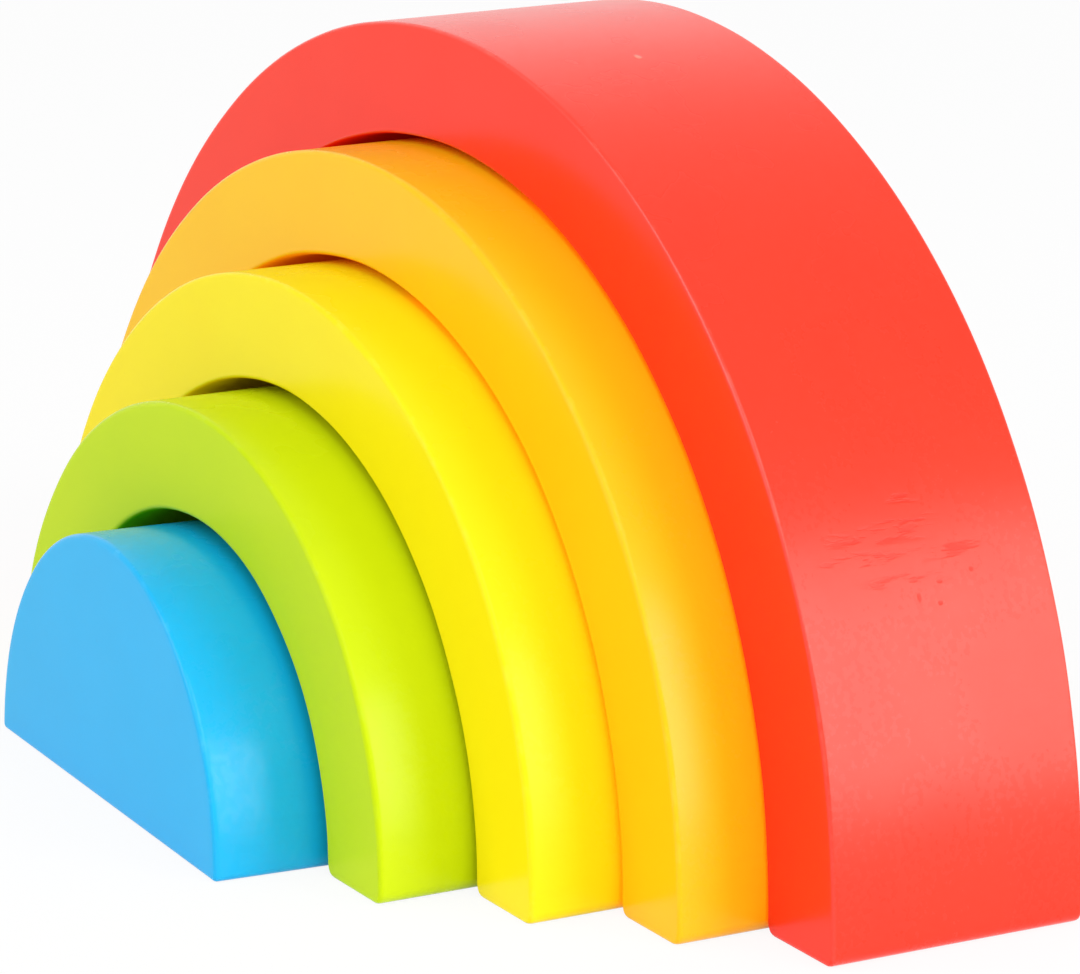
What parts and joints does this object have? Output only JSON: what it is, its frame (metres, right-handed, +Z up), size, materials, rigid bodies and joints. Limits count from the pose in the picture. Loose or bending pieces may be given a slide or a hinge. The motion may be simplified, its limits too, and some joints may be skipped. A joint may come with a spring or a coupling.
{
  "type": "rainbow stacker",
  "caption": "Wooden rainbow stacker: painted half-ring arches nested over a solid half-round core, all loose, each drawn a step forward of the next larger one.",
  "frame": {"origin": "on the table, under the middle of the whole stack as it stands, with its pieces drawn forward", "axes": "+X across the rainbow, to the right seen from the front; +Z up; the front of the stack faces -Y"},
  "size_m": [0.17, 0.0768, 0.085],
  "materials": {
    "red_paint": "satin red paint on close-grained hardwood",
    "orange_paint": "satin orange paint on close-grained hardwood",
    "yellow_paint": "satin yellow paint on close-grained hardwood",
    "green_paint": "satin lime green paint on close-grained hardwood",
    "blue_paint": "satin sky blue paint on close-grained hardwood"
  },
  "bodies": {
    "red": {"red_arch": "red_paint"},
    "orange": {"orange_arch": "orange_paint"},
    "yellow": {"yellow_arch": "yellow_paint"},
    "green": {"green_arch": "green_paint"},
    "blue": {"blue_half_round": "blue_paint"}
  },
  "joints": [
    {"name": "orange_draw", "type": "slide", "parent": "red", "child": "orange", "axis": [0, -1, 0], "range_m": [-0.0108, 0.0232]},
    {"name": "yellow_draw", "type": "slide", "parent": "orange", "child": "yellow", "axis": [0, -1, 0], "range_m": [-0.0106, 0.0234]},
    {"name": "green_draw", "type": "slide", "parent": "yellow", "child": "green", "axis": [0, -1, 0], "range_m": [-0.0112, 0.0228]},
    {"name": "blue_draw", "type": "slide", "parent": "green", "child": "blue", "axis": [0, -1, 0], "range_m": [-0.0105, 0.0252]}
  ]
}
